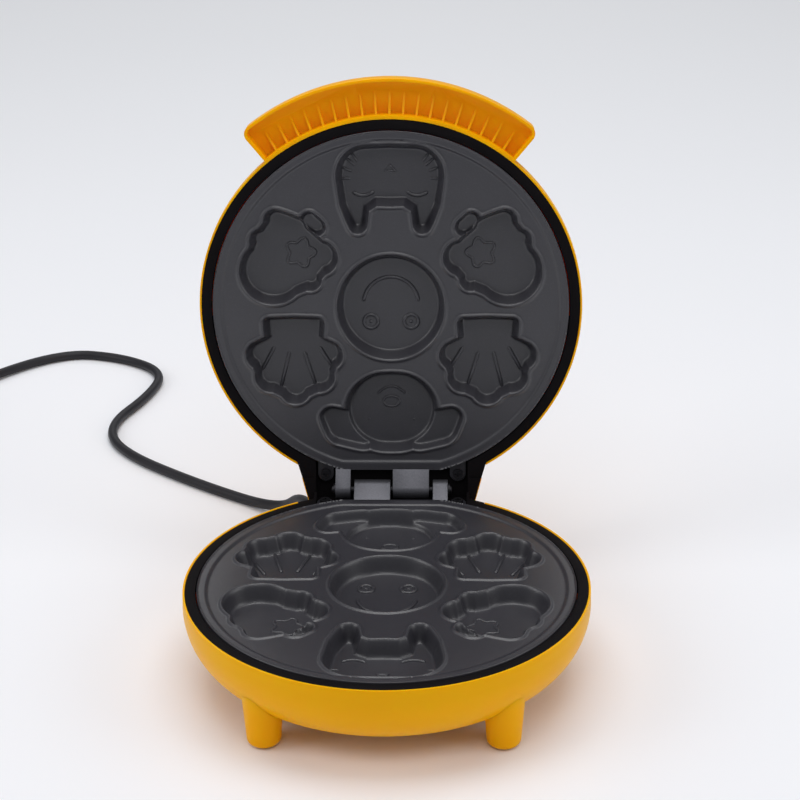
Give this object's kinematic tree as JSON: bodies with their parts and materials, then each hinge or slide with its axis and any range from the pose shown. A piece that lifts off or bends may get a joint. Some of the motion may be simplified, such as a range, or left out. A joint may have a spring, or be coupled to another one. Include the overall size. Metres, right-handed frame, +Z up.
{
  "type": "mini cake maker",
  "caption": "Round hinged electric cake maker standing open, with figure-shaped pockets in both baking plates, a front handle on the lid, stub feet and a mains cord.",
  "frame": {"origin": "on the table, midway between the front of the bowl and the back of the open lid, on the centre plane", "axes": "+X to the right of someone facing the front, +Y to the back, +Z up; the front faces -Y"},
  "size_m": [0.5025, 0.5398, 0.2873],
  "materials": {
    "yellow_plastic": "smooth moulded plastic with a soft gloss",
    "black_plastic": "fine-textured heat-resistant plastic",
    "nonstick_aluminium": "cast aluminium with a dark non-stick coating",
    "steel": "plain steel",
    "element_tube": "heat-tinted steel tube",
    "reflector_steel": "aluminised steel sheet",
    "phenolic": "moulded phenolic resin",
    "fuse_metal": "plated brass",
    "terminal_plastic": "white moulded plastic",
    "rubber": "soft matte rubber",
    "cord_sheath": "flexible cord sheath",
    "tie_plastic": "moulded plastic",
    "plug_pin_metal": "nickel-plated brass",
    "lamp_lens_red": "clear red plastic",
    "lamp_lens_green": "clear green plastic",
    "lamp_glass": "clear glass"
  },
  "bodies": {
    "base": {"base_shell": "yellow_plastic", "base_inner_ring": "black_plastic", "lower_plate": "nonstick_aluminium", "lower_heating_element": "element_tube", "lower_element_clips": "steel", "lower_reflector": "reflector_steel", "lower_ear_screws": "steel", "lower_plate_screws": "steel", "lower_clip_screws": "steel", "lower_ring_screws": "steel", "foot_front_left": "yellow_plastic", "foot_front_right": "yellow_plastic", "foot_rear_left": "yellow_plastic", "foot_rear_right": "yellow_plastic", "foot_pads": "rubber", "foot_screws": "steel", "thermostat_bracket": "steel", "thermostat": "phenolic", "thermal_fuse": "fuse_metal", "fuse_clip": "steel", "terminal_block": "terminal_plastic", "cord_gland": "rubber", "mains_cord": "cord_sheath", "cord_coil": "cord_sheath", "cord_tie": "tie_plastic", "plug_body": "rubber", "plug_pins": "plug_pin_metal", "hinge_pin": "steel", "pin_washers": "steel"},
    "lid": {"lid_shell": "yellow_plastic", "lid_inner_ring": "black_plastic", "upper_plate": "nonstick_aluminium", "upper_heating_element": "element_tube", "upper_element_clips": "steel", "upper_reflector": "reflector_steel", "upper_ear_screws": "steel", "upper_plate_screws": "steel", "upper_clip_screws": "steel", "upper_ring_screws": "steel", "power_lamp_lens": "lamp_lens_red", "power_lamp": "lamp_glass", "ready_lamp_lens": "lamp_lens_green", "ready_lamp": "lamp_glass"}
  },
  "joints": [
    {"name": "lid_hinge", "type": "hinge", "parent": "base", "child": "lid", "pos_m": [0, 0.077, 0.0535], "axis": [1, 0, 0], "range_deg": [0, 97]}
  ]
}
